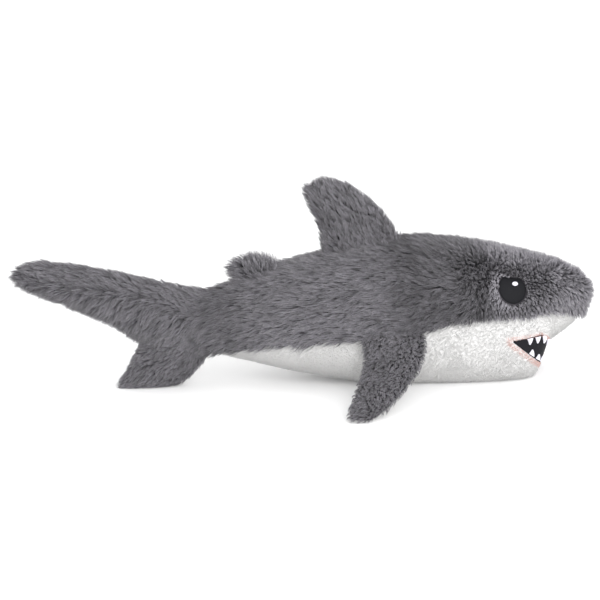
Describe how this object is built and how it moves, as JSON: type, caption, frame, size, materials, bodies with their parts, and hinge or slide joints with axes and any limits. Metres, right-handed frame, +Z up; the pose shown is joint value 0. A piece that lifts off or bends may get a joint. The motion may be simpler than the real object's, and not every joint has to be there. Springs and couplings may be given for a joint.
{
  "type": "plush shark",
  "caption": "Stuffed plush shark lying on its belly: long grey pile back, short white pile belly, stitched eyes and teeth, soft fins and tail that bend at their seams.",
  "frame": {"origin": "on the floor, halfway along the shark, on its middle plane", "axes": "+X to the nose, +Y to the shark's left, +Z up"},
  "size_m": [0.4833, 0.2628, 0.1701],
  "materials": {
    "grey_pile": "long pile plush",
    "white_pile": "short pile plush",
    "black_lining": "brushed knit",
    "pink_lip": "short pile plush",
    "white_thread": "satin stitch",
    "black_thread": "satin stitch",
    "grey_thread": "satin stitch",
    "filling": "polyester fibre"
  },
  "bodies": {
    "torso": {"belly_panel": "white_pile", "left_back_panel": "grey_pile", "left_eye": "black_thread", "left_eye_highlight": "white_thread", "left_eye_surround": "grey_thread", "left_head_panel": "grey_pile", "lip_strip": "pink_lip", "lower_teeth": "white_thread", "mouth_lining": "black_lining", "muzzle_panel": "white_pile", "right_back_panel": "grey_pile", "right_eye": "black_thread", "right_eye_highlight": "white_thread", "right_eye_surround": "grey_thread", "right_head_panel": "grey_pile", "torso_filling": "filling", "upper_teeth": "white_thread"},
    "tail_stock": {"tail_stock_filling": "filling", "tail_stock_left_panel": "grey_pile", "tail_stock_right_panel": "grey_pile"},
    "upper_lobe": {"upper_lobe_filling": "filling", "upper_lobe_left_panel": "grey_pile", "upper_lobe_right_panel": "grey_pile"},
    "lower_lobe": {"lower_lobe_filling": "filling", "lower_lobe_left_panel": "grey_pile", "lower_lobe_right_panel": "grey_pile"},
    "dorsal_fin": {"dorsal_fin_filling": "filling", "dorsal_fin_left_panel": "grey_pile", "dorsal_fin_right_panel": "grey_pile"},
    "rear_dorsal_fin": {"rear_dorsal_fin_filling": "filling", "rear_dorsal_fin_left_panel": "grey_pile", "rear_dorsal_fin_right_panel": "grey_pile"},
    "right_pectoral_fin": {"right_pectoral_filling": "filling", "right_pectoral_lower_panel": "white_pile", "right_pectoral_upper_panel": "grey_pile"},
    "left_pectoral_fin": {"left_pectoral_filling": "filling", "left_pectoral_lower_panel": "white_pile", "left_pectoral_upper_panel": "grey_pile"}
  },
  "joints": [
    {"name": "tail_swing", "type": "hinge", "parent": "torso", "child": "tail_stock", "pos_m": [-0.078, 0, 0.05], "axis": [0, 0, 1], "range_deg": [-22, 22], "stiffness_Nm_per_rad": 0.2},
    {"name": "upper_lobe_swing", "type": "hinge", "parent": "tail_stock", "child": "upper_lobe", "pos_m": [-0.1, 0, 0.06], "axis": [0, 0, 1], "range_deg": [-28, 28], "stiffness_Nm_per_rad": 0.12},
    {"name": "lower_lobe_swing", "type": "hinge", "parent": "tail_stock", "child": "lower_lobe", "pos_m": [-0.1, 0, 0.02], "axis": [0, 0, 1], "range_deg": [-28, 28], "stiffness_Nm_per_rad": 0.08},
    {"name": "dorsal_fin_flop", "type": "hinge", "parent": "torso", "child": "dorsal_fin", "pos_m": [0.045, 0, 0.10922], "axis": [0.9861, 0, 0.166], "range_deg": [-28, 28], "stiffness_Nm_per_rad": 0.1},
    {"name": "rear_dorsal_fin_flop", "type": "hinge", "parent": "torso", "child": "rear_dorsal_fin", "pos_m": [-0.043, 0, 0.08937], "axis": [0.9494, 0, 0.3139], "range_deg": [-28, 28], "stiffness_Nm_per_rad": 0.04},
    {"name": "right_pectoral_fin_flap", "type": "hinge", "parent": "torso", "child": "right_pectoral_fin", "pos_m": [0.062, -0.05061, 0.046], "axis": [-1, 0, 0], "range_deg": [0, 42], "stiffness_Nm_per_rad": 0.12},
    {"name": "left_pectoral_fin_flap", "type": "hinge", "parent": "torso", "child": "left_pectoral_fin", "pos_m": [0.062, 0.05061, 0.046], "axis": [1, 0, 0], "range_deg": [0, 42], "stiffness_Nm_per_rad": 0.12}
  ]
}
